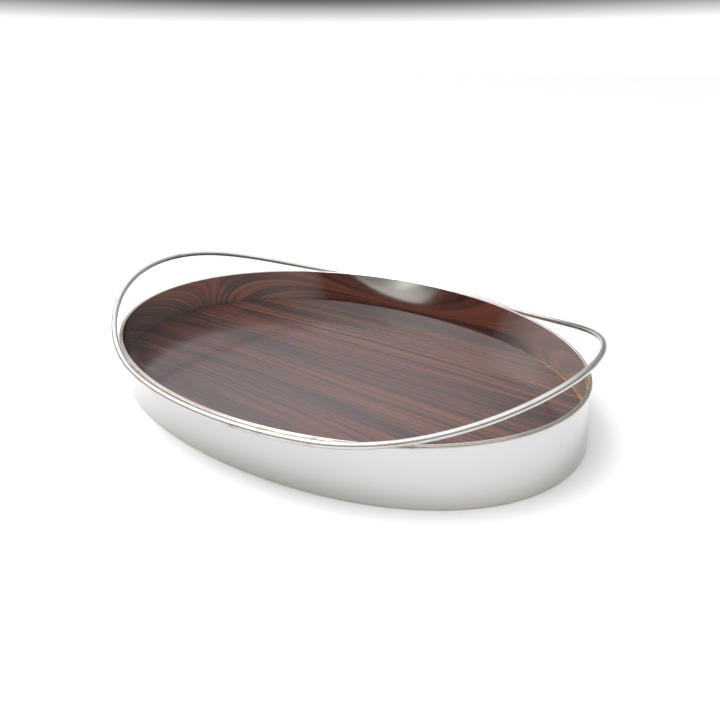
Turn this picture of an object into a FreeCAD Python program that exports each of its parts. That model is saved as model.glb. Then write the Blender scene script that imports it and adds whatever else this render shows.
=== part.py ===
import FreeCAD, Part
import math
import os

# Oval serving tray: a polished plated band on edge, a rosewood-faced board let into it as the floor,
# and one closed rod that runs round the outside of the rim and rises at both ends as the handles.
# Millimetres. X runs along the length, Y across, Z up. The origin is the centre of the oval on the
# surface that the tray rests on.

V = FreeCAD.Vector

# ---- driving dimensions --------------------------------------------------------------------------
TRAY_HEIGHT = 53.5            # top edge of the band above the table
BASE_HALF_LENGTH = 237.6      # outer face of the band at the table
BASE_HALF_WIDTH = 160.4
BASE_FULLNESS = 0.021         # how much fuller than an ellipse the base oval is, as a fraction
RIM_HALF_LENGTH = 230.8       # outer face of the band at its top edge: a plain ellipse
RIM_HALF_WIDTH = 169.9
RIM_FULLNESS = 0.0

BAND_THICKNESS = 1.2
LIP_WIDTH = 6.0               # the bottom edge is turned inwards as a flat lip
EDGE_CHAMFER = 0.8            # outside corner of that turned edge

BEAD_RADIUS = 1.1             # round wire soldered round the outside of the top edge
BEAD_OFFSET = 0.9             # its centre, outwards from the band

ROD_RADIUS = 2.6
ROD_OFFSET = 4.9              # rod centre, outwards from the band
ROD_DROP = 1.8                # rod centre below the top edge along the sides
HANDLE_RISE = 35.4            # how far the rod's centre line climbs at the ends, on average
HANDLE_UNEVEN = 1.5           # the +X handle climbs this much more, the -X handle this much less
BEND_START = 0.39             # fraction of the half length where the rod starts to climb
BEND_SHARE = 0.88             # share of the climb's run that is taken up by the bend itself

FLOOR_TOP = 18.0
LAMINATE_THICKNESS = 1.0
BOARD_THICKNESS = 7.8
BACKING_THICKNESS = 0.8
BOARD_CLEARANCE = 0.3         # between the board's edge and the band
FILLER_WIDTH = 0.6            # ochre bedding round the floor, everywhere
FILLER_EXTRA = 0.8            # and how much wider it is at the +X end
FILLER_SUNK = 0.15            # its top lies this far below the floor

LUG_COUNT = 8
LUG_WIDTH = 14.0
LUG_LEG = 13.0                # reach of the flat leg under the board
LUG_THICKNESS = 1.2
LUG_HEIGHT = 5.6
LUG_SOLDER_FILM = 0.25       # between the lug's flat back and the curved band
SCREW_INSET = 9.0             # screw axis, inwards from the band's outer face
SCREW_RADIUS = 1.3
SCREW_CLEARANCE = 0.05
SCREW_HOLE_IN_LUG = 1.55
SCREW_HEAD_RADIUS = 2.8
SCREW_HEAD_HEIGHT = 1.6
SCREW_SLOT_WIDTH = 0.8
SCREW_SLOT_DEPTH = 0.7
SCREW_BITE = 6.2              # how far the shank enters the board

SOLDER_REACH = 0.44           # fraction of the half length that the solder seams cover
SOLDER_INNER = 1.3            # solder, from the band's outer face outwards
SOLDER_OUTER = 3.3
SOLDER_DEPTH = 2.6            # below the top edge
SOLDER_TOP = 0.7

OUTLINE_POINTS = 96           # points that the closed outlines are drawn through
ROD_SPANS = 20                # spans of the path along half of the loop, two arcs each
STEP_ANGLE = 1e-4             # for tangents

# ---- derived heights -----------------------------------------------------------------------------
BOARD_TOP = FLOOR_TOP - LAMINATE_THICKNESS
BOARD_BOTTOM = BOARD_TOP - BOARD_THICKNESS
BACKING_BOTTOM = BOARD_BOTTOM - BACKING_THICKNESS
LUG_TOP = BACKING_BOTTOM


# ---- outlines ------------------------------------------------------------------------------------
def oval(half_length, half_width, fullness, angle):
    """A point of an oval that is fuller than an ellipse between its four axis ends."""
    swell = 1.0 + fullness * math.sin(2.0 * angle) ** 2
    return V(half_length * math.cos(angle) * swell, half_width * math.sin(angle) * swell, 0.0)


def wall_point(angle, z, inset=0.0):
    """A point of the band's outer face at height z, moved inwards (level) by inset."""
    share = z / TRAY_HEIGHT

    def face(a):
        base = oval(BASE_HALF_LENGTH, BASE_HALF_WIDTH, BASE_FULLNESS, a)
        rim = oval(RIM_HALF_LENGTH, RIM_HALF_WIDTH, RIM_FULLNESS, a)
        return base * (1.0 - share) + rim * share

    along = face(angle + STEP_ANGLE) - face(angle - STEP_ANGLE)
    along.normalize()
    outward = V(along.y, -along.x, 0.0)
    point = face(angle) - outward * inset
    point.z = z
    return point


def outline(z, inset):
    """Closed level curve at height z; inset is a distance, or a function of the angle."""
    points = []
    for i in range(OUTLINE_POINTS):
        angle = 2.0 * math.pi * i / OUTLINE_POINTS
        depth = inset(angle) if callable(inset) else inset
        points.append(wall_point(angle, z, depth))
    curve = Part.BSplineCurve()
    curve.interpolate(points, PeriodicFlag=True)
    return Part.Wire([curve.toShape()])


def slab(z_low, z_high, inset_low, inset_high=None):
    """Solid that fills the oval between two heights, with straight sides between its outlines."""
    if inset_high is None:
        inset_high = inset_low
    return Part.makeLoft([outline(z_low, inset_low), outline(z_high, inset_high)], True, True)


# ---- rods along a path of tangent arcs -----------------------------------------------------------
def arc_edge(start, corner, end):
    """Arc from start to end, tangent there to the lines that meet at corner."""
    middle = (start + end) * 0.5
    half_chord = (end - start).Length / 2.0
    rise = (corner - middle).Length
    if rise < 1e-6:
        return Part.LineSegment(start, end).toShape()
    sagitta = half_chord * math.tan(math.atan2(rise, half_chord) / 2.0)
    crown = middle + (corner - middle) * (sagitta / rise)
    return Part.Arc(start, crown, end).toShape()


def two_arcs(start, start_way, end, end_way):
    """Two arcs from start to end with the given unit directions, tangent to each other."""
    span = end - start
    ways = start_way + end_way
    turn = 2.0 * (1.0 - start_way.dot(end_way))
    along = span.dot(ways)
    if turn < 1e-9:
        reach = span.dot(span) / (4.0 * span.dot(end_way))
    else:
        reach = (math.sqrt(along * along + turn * span.dot(span)) - along) / turn
    first_corner = start + start_way * reach
    last_corner = end - end_way * reach
    joint = (first_corner + last_corner) * 0.5
    return [arc_edge(start, first_corner, joint), arc_edge(joint, last_corner, end)]


def half_loop(path, radius, first_angle):
    """Round rod along half of path(angle), from the middle of one long side to the other's."""
    angles = [first_angle + math.pi * i / ROD_SPANS for i in range(ROD_SPANS + 1)]
    places = [path(a) for a in angles]
    ways = []
    for a in angles:
        way = path(a + STEP_ANGLE) - path(a - STEP_ANGLE)
        way.normalize()
        ways.append(way)
    ways[0] = V(-math.sin(first_angle), 0.0, 0.0)
    ways[-1] = -ways[0]
    edges = []
    for i in range(ROD_SPANS):
        edges += two_arcs(places[i], ways[i], places[i + 1], ways[i + 1])
    section = Part.Wire([Part.makeCircle(radius, places[0], ways[0])])
    return Part.Wire(edges).makePipeShell([section], True, False)


def closed_rod(path, radius):
    """The whole loop: the half by the +X end and the half by the -X end, joined."""
    right = half_loop(path, radius, -math.pi / 2.0)
    left = half_loop(path, radius, math.pi / 2.0)
    return right.fuse(left).Solids[0]


def bead_path(angle):
    return wall_point(angle, TRAY_HEIGHT - BEAD_RADIUS, -BEAD_OFFSET)


def handle_climb(angle):
    """Height of the rod's centre line above its level along the sides."""
    run = (abs(math.cos(angle)) - BEND_START) / (1.0 - BEND_START)
    if run <= 0.0:
        return 0.0
    if run < BEND_SHARE:
        climb = run * run / (2.0 * BEND_SHARE)
    else:
        climb = run - BEND_SHARE / 2.0
    peak = HANDLE_RISE + math.copysign(HANDLE_UNEVEN, math.cos(angle))
    return peak * climb / (1.0 - BEND_SHARE / 2.0)


def rod_path(angle):
    point = wall_point(angle, TRAY_HEIGHT, -ROD_OFFSET)
    point.z = TRAY_HEIGHT - ROD_DROP + handle_climb(angle)
    return point


# ---- the metalwork -------------------------------------------------------------------------------
def make_side_band():
    """Strip on edge, closed to an oval, with its bottom edge turned inwards as the foot."""
    body = slab(EDGE_CHAMFER, TRAY_HEIGHT, 0.0)
    body = body.fuse(slab(0.0, EDGE_CHAMFER, EDGE_CHAMFER, 0.0))
    body = body.cut(slab(BAND_THICKNESS, TRAY_HEIGHT + 2.0, BAND_THICKNESS))
    return body.cut(slab(-1.0, BAND_THICKNESS + 1.0, LIP_WIDTH)).Solids[0]


def make_rim_bead():
    """Round wire, flattened where it lies against the band."""
    wire = closed_rod(bead_path, BEAD_RADIUS)
    keep_out = slab(TRAY_HEIGHT - 4.0, TRAY_HEIGHT + 2.0, 0.0)
    return wire.cut(keep_out).Solids[0]


def make_solder(side, rod, bead):
    """Solder seam that joins the rod to the rim bead along one side (side is +1 or -1 in Y)."""
    z_low = TRAY_HEIGHT - SOLDER_DEPTH
    z_high = TRAY_HEIGHT - SOLDER_TOP
    ring = slab(z_low, z_high, -SOLDER_OUTER).cut(slab(z_low - 1.0, z_high + 1.0, -SOLDER_INNER))
    reach = SOLDER_REACH * RIM_HALF_LENGTH
    width = 2.0 * RIM_HALF_WIDTH
    corner = V(-reach, 0.0 if side > 0 else -width, 0.0)
    window = Part.makeBox(2.0 * reach, width, 2.0 * TRAY_HEIGHT, corner)
    seam = ring.common(window).cut(rod).cut(bead)
    return max(seam.Solids, key=lambda solid: solid.Volume)


def lug_angles():
    return [2.0 * math.pi * (i + 0.5) / LUG_COUNT for i in range(LUG_COUNT)]


def lug_frame(angle):
    """Turn and place of one lug: a placement whose X points inwards from the band."""
    centre = wall_point(angle, LUG_TOP)
    inwards = wall_point(angle, LUG_TOP, 1.0) - centre
    turn = math.degrees(math.atan2(inwards.y, inwards.x))
    return FreeCAD.Placement(V(centre.x, centre.y, 0.0), FreeCAD.Rotation(V(0, 0, 1), turn))


def screw_axis(angle):
    point = wall_point(angle, LUG_TOP, SCREW_INSET)
    return V(point.x, point.y, 0.0)


def make_support_lugs():
    """Angle lugs soldered inside the band; the board is screwed down on their flat legs."""
    low = LUG_TOP - LUG_HEIGHT
    leg_low = LUG_TOP - LUG_THICKNESS
    lugs = []
    for angle in lug_angles():
        frame = lug_frame(angle)
        inwards = frame.Rotation.multVec(V(1, 0, 0))

        def band_face(z):
            gap = wall_point(angle, z, BAND_THICKNESS) - frame.Base
            return gap.dot(inwards) + LUG_SOLDER_FILM

        corners = [
            V(band_face(low), 0, low),
            V(band_face(LUG_TOP), 0, LUG_TOP),
            V(LUG_LEG, 0, LUG_TOP),
            V(LUG_LEG, 0, leg_low),
            V(band_face(leg_low) + LUG_THICKNESS, 0, leg_low),
            V(band_face(low) + LUG_THICKNESS, 0, low),
        ]
        profile = Part.Face(Part.makePolygon(corners + corners[:1]))
        profile.translate(V(0, -LUG_WIDTH / 2.0, 0))
        lug = profile.extrude(V(0, LUG_WIDTH, 0))
        lug.Placement = frame.multiply(lug.Placement)
        hole = Part.makeCylinder(SCREW_HOLE_IN_LUG, 40.0, screw_axis(angle) - V(0, 0, 10.0))
        lugs.append(lug.cut(hole).Solids[0])
    return lugs


def make_lug_screws():
    """Slotted round-head wood screws, driven up through the lugs."""
    head_top = LUG_TOP - LUG_THICKNESS
    head_low = head_top - SCREW_HEAD_HEIGHT
    screws = []
    for angle in lug_angles():
        axis = screw_axis(angle)
        head = Part.makeCylinder(SCREW_HEAD_RADIUS, SCREW_HEAD_HEIGHT, V(axis.x, axis.y, head_low))
        head = head.makeFillet(0.7, [e for e in head.Edges if abs(e.BoundBox.ZMax - head_low) < 1e-6])
        shank_length = BOARD_BOTTOM + SCREW_BITE - head_top
        tip = Part.makeCone(SCREW_RADIUS, 0.3, 1.8, V(axis.x, axis.y, head_top + shank_length))
        shank = Part.makeCylinder(SCREW_RADIUS, shank_length, V(axis.x, axis.y, head_top))
        slot = Part.makeBox(8.0, SCREW_SLOT_WIDTH, SCREW_SLOT_DEPTH, V(-4.0, -SCREW_SLOT_WIDTH / 2.0, 0.0))
        slot.Placement = FreeCAD.Placement(V(axis.x, axis.y, head_low), FreeCAD.Rotation(V(0, 0, 1), 40.0))
        screws.append(head.fuse(shank).fuse(tip).cut(slot).Solids[0])
    return screws


# ---- the floor -----------------------------------------------------------------------------------
def with_screw_holes(sheet):
    for angle in lug_angles():
        hole = Part.makeCylinder(SCREW_RADIUS + SCREW_CLEARANCE, BACKING_THICKNESS + SCREW_BITE + 2.0,
                                 screw_axis(angle) + V(0, 0, BACKING_BOTTOM))
        sheet = sheet.cut(hole)
    return sheet.Solids[0]


def filler_gap(angle):
    """Width of the bedding between the laminate and the band: widest at the +X end."""
    return FILLER_WIDTH + FILLER_EXTRA * ((1.0 + math.cos(angle)) / 2.0) ** 4


def make_base_board():
    edge = BAND_THICKNESS + BOARD_CLEARANCE
    return with_screw_holes(slab(BOARD_BOTTOM, BOARD_TOP, edge))


def make_backing_laminate():
    edge = BAND_THICKNESS + BOARD_CLEARANCE
    return with_screw_holes(slab(BACKING_BOTTOM, BOARD_BOTTOM, edge))


def make_floor_laminate():
    return slab(BOARD_TOP, FLOOR_TOP, lambda angle: BAND_THICKNESS + filler_gap(angle))


def make_edge_filler():
    top = FLOOR_TOP - FILLER_SUNK
    ring = slab(BOARD_TOP, top, BAND_THICKNESS + 0.04)
    hole = slab(BOARD_TOP - 1.0, top + 1.0, lambda angle: BAND_THICKNESS + filler_gap(angle) - 0.02)
    return ring.cut(hole).Solids[0]


# ---- assembly ------------------------------------------------------------------------------------
def build():
    handle_loop = closed_rod(rod_path, ROD_RADIUS)
    rim_bead = make_rim_bead()
    return {
        "side_band": [make_side_band()],
        "rim_bead": [rim_bead],
        "handle_loop": [handle_loop],
        "handle_solder_front": [make_solder(-1, handle_loop, rim_bead)],
        "handle_solder_back": [make_solder(1, handle_loop, rim_bead)],
        "support_lugs": make_support_lugs(),
        "lug_screws": make_lug_screws(),
        "base_board": [make_base_board()],
        "backing_laminate": [make_backing_laminate()],
        "floor_laminate": [make_floor_laminate()],
        "edge_filler": [make_edge_filler()],
    }


os.makedirs("parts", exist_ok=True)
for name, solids in build().items():
    shape = solids[0] if len(solids) == 1 else Part.makeCompound(solids)
    shape.exportStep("parts/" + name + ".step")
    box = shape.BoundBox
    print("%-20s %2d solids  %10.1f mm3  %7.2f x %7.2f x %6.2f  z %6.2f..%6.2f  valid %s" % (
        name, len(solids), shape.Volume, box.XLength, box.YLength, box.ZLength, box.ZMin, box.ZMax,
        shape.isValid()))
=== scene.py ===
import math
import bpy
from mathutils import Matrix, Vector, noise


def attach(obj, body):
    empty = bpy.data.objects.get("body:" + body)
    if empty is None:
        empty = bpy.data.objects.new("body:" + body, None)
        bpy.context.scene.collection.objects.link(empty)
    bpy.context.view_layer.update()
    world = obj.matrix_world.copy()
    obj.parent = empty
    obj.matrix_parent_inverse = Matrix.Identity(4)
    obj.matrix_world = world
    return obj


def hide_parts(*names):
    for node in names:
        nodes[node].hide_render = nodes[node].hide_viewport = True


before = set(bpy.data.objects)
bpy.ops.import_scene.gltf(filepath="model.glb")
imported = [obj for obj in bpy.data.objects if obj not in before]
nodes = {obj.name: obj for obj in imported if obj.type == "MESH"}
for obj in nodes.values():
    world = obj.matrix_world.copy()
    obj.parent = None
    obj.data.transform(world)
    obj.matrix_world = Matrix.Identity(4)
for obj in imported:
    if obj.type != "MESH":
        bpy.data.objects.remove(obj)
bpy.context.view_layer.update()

# All lengths are in metres, in the frame of the CAD part: X along the tray, Y across, Z up.
MM = 0.001
BODY = "root"

# ---- sizes shared with the part ------------------------------------------------------------------
TRAY_HEIGHT = 53.5 * MM
BASE_HALF_LENGTH, BASE_HALF_WIDTH, BASE_FULLNESS = 237.6 * MM, 160.4 * MM, 0.021
RIM_HALF_LENGTH, RIM_HALF_WIDTH, RIM_FULLNESS = 230.8 * MM, 169.9 * MM, 0.0
BAND_THICKNESS = 1.2 * MM
LIP_WIDTH = 6.0 * MM
BEAD_RADIUS, BEAD_OFFSET = 1.1 * MM, 0.9 * MM
ROD_RADIUS, ROD_OFFSET, ROD_DROP = 2.6 * MM, 4.9 * MM, 1.8 * MM
HANDLE_RISE, HANDLE_UNEVEN = 35.4 * MM, 1.5 * MM
BEND_START, BEND_SHARE = 0.39, 0.88
SOLDER_REACH = 0.44

# ---- sizes of the finer meshes only --------------------------------------------------------------
# Roundings of the band: outside at the foot (a chamfer on the part), top edge, lip, inside at the foot.
EDGE_RADIUS = 0.8 * MM
TOP_RADIUS = 0.42 * MM
LIP_RADIUS = 0.3 * MM
FOOT_RADIUS = 1.2 * MM
SOLDER_OFFSET, SOLDER_DROP = 2.35 * MM, 1.45 * MM
SOLDER_HALF_WIDTH, SOLDER_HALF_HEIGHT = 1.0 * MM, 0.86 * MM

# ---- how finely the meshes are cut ---------------------------------------------------------------
STEP_ANGLE = 1e-4
AROUND = 768
BEAD_SIDES, ROD_SIDES, SOLDER_SIDES = 14, 28, 12
SOLDER_STEPS = 260
FACE_STEPS = 6
GUARD = 0.35 * MM


# ---- outlines and paths --------------------------------------------------------------------------
def oval(half_length, half_width, fullness, angle):
    """An ellipse, swollen a little between its axes by fullness."""
    swell = 1.0 + fullness * math.sin(2.0 * angle) ** 2
    return Vector((half_length * math.cos(angle) * swell, half_width * math.sin(angle) * swell, 0.0))


def wall_point(angle, z, inset=0.0):
    """A point of the band's outer face at height z, moved level inwards by inset."""
    share = z / TRAY_HEIGHT

    def outline(a):
        base = oval(BASE_HALF_LENGTH, BASE_HALF_WIDTH, BASE_FULLNESS, a)
        rim = oval(RIM_HALF_LENGTH, RIM_HALF_WIDTH, RIM_FULLNESS, a)
        return base.lerp(rim, share)

    along = (outline(angle + STEP_ANGLE) - outline(angle - STEP_ANGLE)).normalized()
    outward = Vector((along.y, -along.x, 0.0))
    point = outline(angle) - outward * inset
    point.z = z
    return point


def handle_climb(angle):
    """Height of the rod over its level run: flat along the sides, then bending up over both ends."""
    run = (abs(math.cos(angle)) - BEND_START) / (1.0 - BEND_START)
    if run <= 0.0:
        return 0.0
    if run < BEND_SHARE:
        climb = run * run / (2.0 * BEND_SHARE)
    else:
        climb = run - BEND_SHARE / 2.0
    peak = HANDLE_RISE + math.copysign(HANDLE_UNEVEN, math.cos(angle))
    return peak * climb / (1.0 - BEND_SHARE / 2.0)


def rod_path(angle):
    point = wall_point(angle, TRAY_HEIGHT, -ROD_OFFSET)
    point.z = TRAY_HEIGHT - ROD_DROP + handle_climb(angle)
    return point


def bead_path(angle):
    return wall_point(angle, TRAY_HEIGHT - BEAD_RADIUS, -BEAD_OFFSET)


# ---- meshes --------------------------------------------------------------------------------------
def mesh_object(name, points, faces):
    mesh = bpy.data.meshes.new(name)
    mesh.from_pydata([tuple(p) for p in points], [], faces)
    mesh.polygons.foreach_set("use_smooth", [True] * len(mesh.polygons))
    mesh.update()
    piece = bpy.data.objects.new(name, mesh)
    bpy.context.scene.collection.objects.link(piece)
    return piece


def skin(name, rows, closed_path=True):
    """Mesh through rows of points, each row a closed loop of the same length."""
    count, size = len(rows), len(rows[0])
    points = [p for row in rows for p in row]
    faces = []
    for i in range(count if closed_path else count - 1):
        a, b = i * size, ((i + 1) % count) * size
        for j in range(size):
            k = (j + 1) % size
            faces.append((a + j, b + j, b + k, a + k))
    if not closed_path:
        faces.append(tuple(range(size)))
        last = (count - 1) * size
        faces.append(tuple(reversed(range(last, last + size))))
    return mesh_object(name, points, faces)


def arc(centre, radius, start, end, steps):
    """Points (inset, height) on an arc of a section, angles in degrees."""
    out = []
    for i in range(steps + 1):
        a = math.radians(start + (end - start) * i / steps)
        out.append((centre[0] + radius * math.cos(a), centre[1] + radius * math.sin(a)))
    return out


def face(inset, start, end):
    """Points (inset, height) up or down a flat face of a section."""
    return [(inset, start + (end - start) * k / FACE_STEPS) for k in range(FACE_STEPS + 1)]


def band_section():
    """Section of the band as (inset, height), from under the lip, up outside and down inside.

    A guard point stands close to most arcs, so that smooth shading leaves the flat faces flat.
    """
    outside_low, outside_high = EDGE_RADIUS + GUARD, TRAY_HEIGHT - TOP_RADIUS - GUARD
    inside_low = BAND_THICKNESS + FOOT_RADIUS + GUARD
    foot = BAND_THICKNESS + FOOT_RADIUS
    lip = LIP_WIDTH - LIP_RADIUS

    points = [(LIP_WIDTH - 2 * LIP_RADIUS, 0.0), (EDGE_RADIUS + GUARD, 0.0)]
    points += arc((EDGE_RADIUS, EDGE_RADIUS), EDGE_RADIUS, 270, 180, 6)
    points += face(0.0, outside_low, outside_high)
    points += arc((TOP_RADIUS, TRAY_HEIGHT - TOP_RADIUS), TOP_RADIUS, 180, 90, 5)
    points += arc((BAND_THICKNESS - TOP_RADIUS, TRAY_HEIGHT - TOP_RADIUS), TOP_RADIUS, 90, 0, 5)
    points += face(BAND_THICKNESS, outside_high, inside_low)
    points += arc((foot, foot), FOOT_RADIUS, 180, 270, 4)
    points += [(LIP_WIDTH - LIP_RADIUS - GUARD, BAND_THICKNESS)]
    points += arc((lip, BAND_THICKNESS - LIP_RADIUS), LIP_RADIUS, 90, 0, 3)
    points += arc((lip, LIP_RADIUS), LIP_RADIUS, 0, -90, 3)
    return points


def make_band():
    section = band_section()
    rows = []
    for i in range(AROUND):
        angle = 2.0 * math.pi * i / AROUND
        rows.append([wall_point(angle, z, inset) for inset, z in section])
    return skin("band", rows)


def tube_row(path, angle, across, rise, sides):
    """One section of a rod square to its path: half sizes across (level) and rise."""
    along = (path(angle + STEP_ANGLE) - path(angle - STEP_ANGLE)).normalized()
    side = along.cross(Vector((0, 0, 1))).normalized()
    up = side.cross(along)
    centre = path(angle)
    row = []
    for k in range(sides):
        turn = 2.0 * math.pi * k / sides
        row.append(centre + side * (across * math.cos(turn)) + up * (rise * math.sin(turn)))
    return row


def make_tube(name, path, radius, sides):
    rows = [tube_row(path, 2.0 * math.pi * i / AROUND, radius, radius, sides) for i in range(AROUND)]
    return skin(name, rows)


def valley_path(angle):
    """The valley between the bead and the rod, rising half as fast as the rod."""
    point = wall_point(angle, TRAY_HEIGHT, -SOLDER_OFFSET)
    point.z = TRAY_HEIGHT - SOLDER_DROP + handle_climb(angle) * 0.5
    return point


def make_solder(name, middle):
    """Lumpy seam along the valley, tapering at its ends; middle is its mid angle."""
    half_turn = math.pi / 2.0 - math.acos(SOLDER_REACH)
    lump_share, lump_rate = 0.28, 26.0
    taper_least, taper_rate = 0.05, 16.0
    rows = []
    for i in range(SOLDER_STEPS + 1):
        share = 2.0 * i / SOLDER_STEPS - 1.0
        lump = 1.0 + lump_share * noise.noise(Vector((share * lump_rate, middle, 0.0)))
        taper = max(taper_least, min(1.0, (1.0 - abs(share)) * taper_rate)) ** 0.5
        width, height = SOLDER_HALF_WIDTH * taper, SOLDER_HALF_HEIGHT * lump * taper
        rows.append(tube_row(valley_path, middle + half_turn * share, width, height, SOLDER_SIDES))
    return skin(name, rows, closed_path=False)


# ---- materials -----------------------------------------------------------------------------------
class Graph:
    """Small helper that wires the shader nodes of a material or a world."""

    def __init__(self, owner, shader, place):
        owner.use_nodes = True
        self.owner = owner
        self.tree = owner.node_tree
        self.shader = self.tree.nodes[shader]
        self.spot = self.tree.nodes.new("ShaderNodeTexCoord").outputs
        self.place = self.spot[place]

    def put(self, socket, value):
        """Links value to the socket if it is another node's output, else sets it."""
        if hasattr(value, "is_output"):
            self.tree.links.new(value, socket)
        else:
            socket.default_value = value

    def set(self, **values):
        for key, value in values.items():
            self.put(self.shader.inputs[key.replace("_", " ")], value)
        return self

    def math(self, operation, a, b=0.0):
        node = self.tree.nodes.new("ShaderNodeMath")
        node.operation = operation
        for socket, value in zip(node.inputs, (a, b)):
            self.put(socket, value)
        return node.outputs[0]

    def times(self, a, b):
        return self.math("MULTIPLY", a, b)

    def stretch(self, scale):
        node = self.tree.nodes.new("ShaderNodeMapping")
        self.put(node.inputs["Vector"], self.place)
        self.put(node.inputs["Scale"], scale)
        return node.outputs[0]

    def noise(self, scale, detail=2.0, roughness=0.5, vector=None):
        node = self.tree.nodes.new("ShaderNodeTexNoise")
        self.put(node.inputs["Vector"], vector or self.place)
        self.put(node.inputs["Scale"], scale)
        self.put(node.inputs["Detail"], detail)
        self.put(node.inputs["Roughness"], roughness)
        return node.outputs["Fac"]

    def ramp(self, fac, stops):
        node = self.tree.nodes.new("ShaderNodeValToRGB")
        band = node.color_ramp
        while len(band.elements) < len(stops):
            band.elements.new(0.5)
        for element, (position, colour) in zip(band.elements, stops):
            element.position = position
            element.color = tuple(colour) + (1.0,)
        self.put(node.inputs["Fac"], fac)
        return node.outputs["Color"]

    def span(self, fac, low, high, out_low=0.0, out_high=1.0):
        node = self.tree.nodes.new("ShaderNodeMapRange")
        for key, value in (("Value", fac), ("From Min", low), ("From Max", high),
                           ("To Min", out_low), ("To Max", out_high)):
            self.put(node.inputs[key], value)
        return node.outputs["Result"]

    def mix(self, fac, a, b, blend="MIX"):
        node = self.tree.nodes.new("ShaderNodeMix")
        node.data_type = "RGBA"
        node.blend_type = blend
        self.put(node.inputs["Factor"], fac)
        self.put(node.inputs[6], a if hasattr(a, "is_output") else tuple(a) + (1.0,))
        self.put(node.inputs[7], b if hasattr(b, "is_output") else tuple(b) + (1.0,))
        return node.outputs[2]

    def split(self):
        node = self.tree.nodes.new("ShaderNodeSeparateXYZ")
        self.put(node.inputs[0], self.place)
        return node.outputs

    def join(self, x, y, z):
        node = self.tree.nodes.new("ShaderNodeCombineXYZ")
        for socket, value in zip(node.inputs, (x, y, z)):
            self.put(socket, value)
        return node.outputs[0]

    def dot(self, a, b):
        node = self.tree.nodes.new("ShaderNodeVectorMath")
        node.operation = "DOT_PRODUCT"
        self.put(node.inputs[0], a)
        self.put(node.inputs[1], b)
        return node.outputs["Value"]

    def facing(self):
        """0 where a surface faces the viewer, 1 where it is seen edge on."""
        return self.tree.nodes.new("ShaderNodeLayerWeight").outputs["Facing"]

    def bump(self, height, strength, distance):
        node = self.tree.nodes.new("ShaderNodeBump")
        self.put(node.inputs["Height"], height)
        self.put(node.inputs["Strength"], strength)
        self.put(node.inputs["Distance"], distance)
        self.tree.links.new(node.outputs["Normal"], self.shader.inputs["Normal"])
        return self


def material_graph(name):
    return Graph(bpy.data.materials.new(name), "Principled BSDF", "Object")


# Height over which the painted shade at the band's foot fades out.
FOOT_SHADE_HEIGHT = 30.0 * MM


def polished_band():
    """Silver plate of the band, faintly wiped: bright inside; greyer outside and darker and warmer at its
    foot, both painted shade.
    """
    g = material_graph("silver_band")
    z = g.split()[2]
    cloud = g.noise(8.0, 3.0, 0.55)
    # Painted shade: the outside turns darker and warmer towards its foot, standing in for the shadowed
    # floor it mirrors.
    foot = g.math("POWER", g.span(z, 0.0, FOOT_SHADE_HEIGHT, 1.0, 0.0), 1.4)
    specks = g.span(g.noise(330.0, 1.0, 0.5), 0.765, 0.785, 0.0, 0.35)
    # Painted shade: the outside's plate is kept greyer than the bright inside, standing in for a dimmer
    # floor in its reflection.
    inside = g.span(g.dot(g.spot["Normal"], g.place), -0.02, -0.06)
    plate = g.mix(g.span(cloud, 0.3, 0.7), (0.555, 0.555, 0.56), (0.585, 0.585, 0.59))
    plate = g.mix(g.times(foot, 0.9), plate, (0.54, 0.52, 0.475))
    plate = g.mix(inside, plate, (0.93, 0.90, 0.87))
    g.set(Base_Color=g.mix(specks, plate, (0.36, 0.33, 0.29)), Metallic=1.0)
    wipes = g.noise(70.0, 2.0, 0.6, g.stretch((1.0, 1.0, 26.0)))
    polish = g.span(cloud, 0.3, 0.7, 0.045, 0.075)
    g.set(Roughness=g.math("ADD", polish, g.span(wipes, 0.45, 0.8, 0.0, 0.02)))
    return g.bump(wipes, 0.008, 0.0002).owner


def worn_wire(name, clean, tarnish, amount, gloss):
    """Plated wire with uneven patches of tarnish; amount says how much of it is stained."""
    g = material_graph(name)
    cloud = g.noise(14.0, 3.0, 0.6)
    patches = g.span(g.noise(30.0, 4.0, 0.62), 0.62 - amount, 0.80 - amount)
    streaks = g.span(g.noise(90.0, 3.0, 0.6), 0.48, 0.72, 0.25, 1.0)
    stain = g.times(patches, streaks)
    tone = g.mix(g.span(cloud, 0.3, 0.7), [c * 0.94 for c in clean], clean)
    g.set(Base_Color=g.mix(stain, tone, tarnish), Metallic=1.0)
    grit = g.noise(340.0, 3.0, 0.6)
    polish = g.span(grit, 0.3, 0.7, gloss * 0.9, gloss * 1.1)
    g.set(Roughness=g.math("ADD", polish, g.times(stain, 0.12)))
    return g.bump(grit, 0.008, 0.0002).owner


LINE_SPACING = 6.4 * MM


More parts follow.
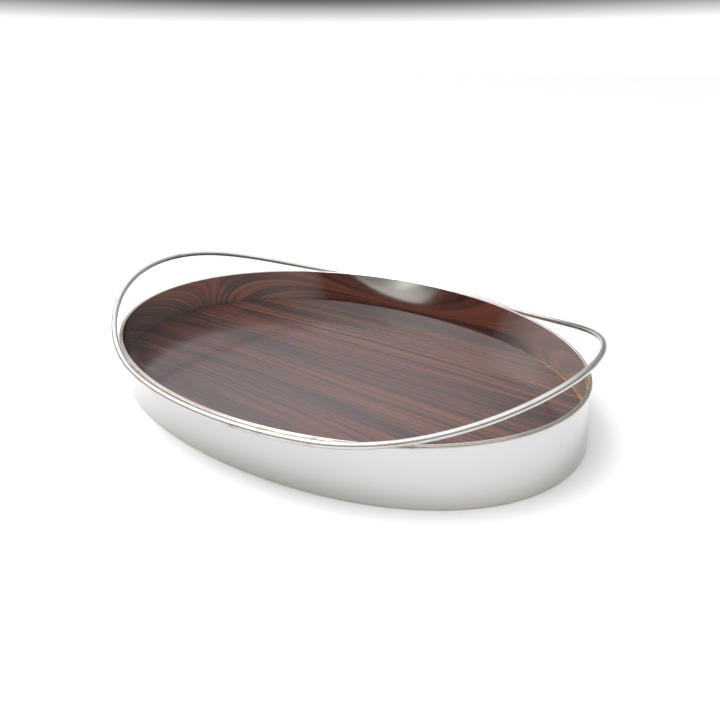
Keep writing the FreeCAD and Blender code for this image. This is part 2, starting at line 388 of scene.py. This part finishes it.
def rosewood():
    """Glossy rosewood face, grain along X: ruled growth lines, dark veins, pores and darker zones.

    The gloss fades out where the face is seen at a low angle.
    """
    g = material_graph("rosewood_gloss")
    x, y = g.split()[:2]

    def grain(along, across, seed, detail=2.0, roughness=0.55, base=None):
        place = g.join(g.times(x, along), g.times(base or wavy, across), seed)
        return g.noise(1.0, detail, roughness, place)

    def sway(along, across, seed, detail, roughness, reach):
        place = g.join(g.times(x, along), g.times(y, across), seed)
        return g.span(g.noise(1.0, detail, roughness, place), 0.0, 1.0, -reach, reach)

    bow = sway(3.0, 6.0, 1.7, 1.0, 0.5, 0.013)
    ripple = sway(16.0, 34.0, 4.2, 2.0, 0.55, 0.0028)
    wavy = g.math("ADD", y, g.math("ADD", bow, ripple))

    zones = grain(1.3, 15.0, 0.3)
    stripes = grain(2.6, 120.0, 2.7, 3.0, 0.6)
    hairs = grain(10.0, 620.0, 5.1)
    veins = grain(1.1, 24.0, 7.4, 2.0, 0.45)
    pores = g.span(grain(48.0, 1100.0, 9.0, 1.0, 0.5, y), 0.64, 0.72)

    tone = g.math("ADD", g.times(stripes, 0.72), g.times(hairs, 0.28))
    colour = g.ramp(tone, ((0.34, (0.052, 0.019, 0.015)), (0.46, (0.092, 0.030, 0.020)),
                           (0.55, (0.125, 0.041, 0.027)), (0.68, (0.165, 0.058, 0.038))))
    colour = g.mix(g.span(zones, 0.62, 0.38, 0.0, 0.42), colour, (0.022, 0.013, 0.013))
    count = g.math("ADD", g.times(wavy, 1.0 / LINE_SPACING), g.times(zones, 9.0))
    ruled = g.span(g.math("SINE", g.times(count, 2.0 * math.pi)), -0.1, 0.95)
    strength = g.span(grain(4.0, 70.0, 3.9), 0.36, 0.62, 0.3, 0.95)
    colour = g.mix(g.times(ruled, strength), colour, (0.013, 0.010, 0.012))
    vein = g.span(g.math("ABSOLUTE", g.math("SUBTRACT", veins, 0.5)), 0.008, 0.032, 1.0, 0.0)
    colour = g.mix(g.times(vein, 0.62), colour, (0.009, 0.008, 0.011))
    colour = g.mix(g.times(pores, 0.5), colour, (0.010, 0.007, 0.008))
    gloss = g.span(g.facing(), 0.50, 0.78, 0.30, 0.0)
    g.set(Base_Color=colour, Roughness=g.span(stripes, 0.3, 0.7, 0.20, 0.27))
    g.set(Specular_IOR_Level=gloss, Coat_Weight=gloss, Coat_Roughness=0.10)
    height = g.math("SUBTRACT", g.times(hairs, 0.5), pores)
    return g.bump(height, 0.04, 0.0002).owner


CLEAN_FROM, CLEAN_FULL = 90.0 * MM, 170.0 * MM


def bedding():
    """Matt, lumpy bedding compound round the floor: brown with dirt, clean ochre at the +X end."""
    g = material_graph("ochre_bedding")
    cloud = g.noise(160.0, 4.0, 0.6)
    fine = g.noise(1440.0, 2.0, 0.6)
    clean = g.mix(g.span(cloud, 0.3, 0.7), (0.20, 0.105, 0.035), (0.40, 0.24, 0.09))
    soiled = g.mix(g.span(cloud, 0.3, 0.7), (0.050, 0.026, 0.016), (0.100, 0.055, 0.030))
    g.set(Base_Color=g.mix(g.span(g.split()[0], CLEAN_FROM, CLEAN_FULL), soiled, clean))
    g.set(Roughness=g.span(fine, 0.3, 0.7, 0.5, 0.7))
    return g.bump(g.math("ADD", cloud, g.times(fine, 0.4)), 0.5, 0.0006).owner


def dull_metal(name, dark, light, roughness, scale):
    """Solder or brass: mottled between two tones, with a fine grit."""
    g = material_graph(name)
    cloud = g.noise(scale, 4.0, 0.6)
    g.set(Base_Color=g.mix(g.span(cloud, 0.3, 0.7), dark, light), Metallic=1.0)
    g.set(Roughness=g.span(cloud, 0.3, 0.7, roughness * 1.2, roughness * 0.8))
    return g.bump(g.noise(scale * 6.0, 3.0, 0.6), 0.08, 0.0003).owner


PLY_PITCH = 3.1 * MM


def plywood():
    """Board edge and faces: plies stacked in height, short grain along X."""
    g = material_graph("plywood_core")
    z = g.split()[2]
    ply = g.math("SINE", g.times(z, 2.0 * math.pi / PLY_PITCH))
    grain = g.noise(1.0, 3.0, 0.6, g.stretch((12.0, 260.0, 600.0)))
    tone = g.mix(g.span(ply, -0.4, 0.4), (0.24, 0.135, 0.065), (0.42, 0.27, 0.14))
    g.set(Base_Color=g.mix(g.span(grain, 0.35, 0.7, 0.0, 0.5), tone, (0.20, 0.11, 0.05)), Roughness=0.72)
    return g.bump(grain, 0.25, 0.0004).owner


def backing():
    """Plain dark brown balancing sheet with a fine weave."""
    g = material_graph("backing_brown")
    weave = g.noise(900.0, 3.0, 0.6)
    cloud = g.noise(7.0, 3.0, 0.6)
    g.set(Base_Color=g.mix(g.span(cloud, 0.3, 0.7), (0.030, 0.018, 0.013), (0.055, 0.034, 0.024)))
    g.set(Roughness=g.span(weave, 0.3, 0.7, 0.55, 0.75))
    return g.bump(weave, 0.2, 0.0003).owner


# ---- pieces --------------------------------------------------------------------------------------
def dress(piece, material):
    piece.data.materials.clear()
    piece.data.materials.append(material)
    for polygon in piece.data.polygons:
        polygon.material_index = 0


def add_piece(piece, node, material):
    """A finer mesh in place of the CAD node, with a material slot of its own."""
    dress(piece, material)
    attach(piece, BODY)
    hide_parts(node)


band_plate = polished_band()
bead_plate = worn_wire("silver_bead", (0.56, 0.52, 0.45), (0.30, 0.22, 0.14), 0.16, 0.20)
rod_plate = worn_wire("silver_rod", (0.60, 0.585, 0.56), (0.32, 0.24, 0.17), 0.13, 0.20)
solder_grey = dull_metal("solder_dull", (0.10, 0.065, 0.035), (0.40, 0.32, 0.22), 0.38, 130.0)

add_piece(make_band(), "side_band", band_plate)
add_piece(make_tube("bead", bead_path, BEAD_RADIUS, BEAD_SIDES), "rim_bead", bead_plate)
add_piece(make_tube("rod", rod_path, ROD_RADIUS, ROD_SIDES), "handle_loop", rod_plate)
add_piece(make_solder("solder_front", -math.pi / 2.0), "handle_solder_front", solder_grey)
add_piece(make_solder("solder_back", math.pi / 2.0), "handle_solder_back", solder_grey)

dress(nodes["floor_laminate"], rosewood())
dress(nodes["edge_filler"], bedding())
dress(nodes["base_board"], plywood())
dress(nodes["backing_laminate"], backing())
dress(nodes["support_lugs"], dull_metal("lug_brass", (0.36, 0.25, 0.10), (0.62, 0.47, 0.22), 0.36, 90.0))
dress(nodes["lug_screws"], dull_metal("screw_brass", (0.45, 0.32, 0.13), (0.72, 0.56, 0.27), 0.28, 140.0))


# ---- studio --------------------------------------------------------------------------------------
# Level directions that the studio is shaded by, and its (height of the direction, brightness) levels.
LIT_SIDE = (-0.887, -0.487, 0.0)
GLOW_SIDE = (-0.843, 0.364, 0.0)
BACK_SIDE = (-0.606, 0.796, 0.0)
LIT_LEVELS = ((0.0, 0.06), (0.22, 0.08), (0.34, 0.40), (0.50, 0.46),
              (0.70, 0.58), (0.88, 0.95), (1.0, 0.95))
DIM_LEVELS = ((0.0, 0.10), (0.15, 0.12), (0.28, 0.26), (0.50, 0.24),
              (0.72, 0.42), (0.88, 0.92), (1.0, 0.95))
BACK_LEVELS = ((0.0, 0.70), (0.052, 0.66), (0.085, 0.0))
GLOW_LEVELS = ((0.20, 0.0), (0.34, 0.10), (0.46, 0.62), (0.56, 0.88), (0.66, 0.68), (0.78, 0.0))
COOL_TINT, ROSE_TINT = (0.985, 0.99, 1.0), (1.0, 0.95, 1.0)
END_GAIN = (1.45, 1.45, 1.45)
STUDIO_STRENGTH = 1.7

FLOOR_HALF_SIZE = 40.0
FLOOR_DROP = 0.2 * MM

LAMP_PLACE, LAMP_TARGET = (-0.66, -0.62, 1.8), (0.0, 0.0, 0.0)
LAMP_SIZE, LAMP_POWER = 1.0, 20.0

CAMERA_AZIMUTH, CAMERA_ELEVATION = 0.6505, 0.4833
CAMERA_DISTANCE = 0.5991
CAMERA_ASIDE, CAMERA_ABOVE = 0.0222, 0.0212
CAMERA_LENS, CAMERA_SENSOR = 30.38, 36.0


def make_floor():
    size = FLOOR_HALF_SIZE
    corners = [(-size, -size, 0), (size, -size, 0), (size, size, 0), (-size, size, 0)]
    floor = mesh_object("floor", corners, [(0, 1, 2, 3)])
    g = material_graph("floor_white")
    g.set(Base_Color=g.mix(g.noise(3.0, 2.0), (0.90, 0.90, 0.90), (0.93, 0.93, 0.93)), Roughness=0.9)
    dress(floor, g.owner)
    floor.location.z = -FLOOR_DROP


def make_world():
    """Soft studio: bright overhead, lit from the left end, a glow at the left and a low strip behind."""
    bpy.context.scene.world = bpy.data.worlds.new("studio")
    g = Graph(bpy.context.scene.world, "Background", "Generated")
    height = g.split()[2]

    def shades(levels, tint=COOL_TINT):
        return g.ramp(height, [(z, [level * c for c in tint]) for z, level in levels])

    toward = g.dot(g.place, LIT_SIDE)
    around = g.mix(g.span(toward, -0.35, 0.30), shades(DIM_LEVELS), shades(LIT_LEVELS))
    end_light = g.times(g.span(toward, 0.60, 0.95), g.span(height, 0.20, 0.45))
    around = g.mix(end_light, around, END_GAIN, "MULTIPLY")
    around = g.mix(g.span(g.dot(g.place, BACK_SIDE), 0.0, 0.5), around, shades(BACK_LEVELS), "ADD")
    glow = g.span(g.dot(g.place, GLOW_SIDE), 0.40, 0.68)
    g.set(Color=g.mix(glow, around, shades(GLOW_LEVELS, ROSE_TINT), "ADD"), Strength=STUDIO_STRENGTH)


def aim(piece, target):
    way = Vector(target) - piece.location
    piece.rotation_euler = way.to_track_quat("-Z", "Y").to_euler()


def make_lamp():
    """One large soft lamp, high over the left front."""
    data = bpy.data.lights.new("high_soft", "AREA")
    data.shape = "RECTANGLE"
    data.size = LAMP_SIZE
    data.size_y = LAMP_SIZE
    data.energy = LAMP_POWER
    lamp = bpy.data.objects.new("high_soft", data)
    lamp.location = LAMP_PLACE
    bpy.context.scene.collection.objects.link(lamp)
    aim(lamp, LAMP_TARGET)


def make_camera():
    """Camera over the right front, aimed a little aside of and above the middle of the base."""
    data = bpy.data.cameras.new("camera")
    data.sensor_width = CAMERA_SENSOR
    data.lens = CAMERA_LENS
    camera = bpy.data.objects.new("camera", data)
    bpy.context.scene.collection.objects.link(camera)
    level = math.cos(CAMERA_ELEVATION)
    away = Vector((math.sin(CAMERA_AZIMUTH) * level, -math.cos(CAMERA_AZIMUTH) * level,
                   math.sin(CAMERA_ELEVATION)))
    camera.location = away * CAMERA_DISTANCE
    right = (-away).cross(Vector((0, 0, 1))).normalized()
    up = right.cross(-away)
    aim(camera, right * CAMERA_ASIDE + up * CAMERA_ABOVE)
    bpy.context.scene.camera = camera


make_floor()
make_world()
make_lamp()
make_camera()
bpy.context.scene.view_settings.view_transform = "Standard"
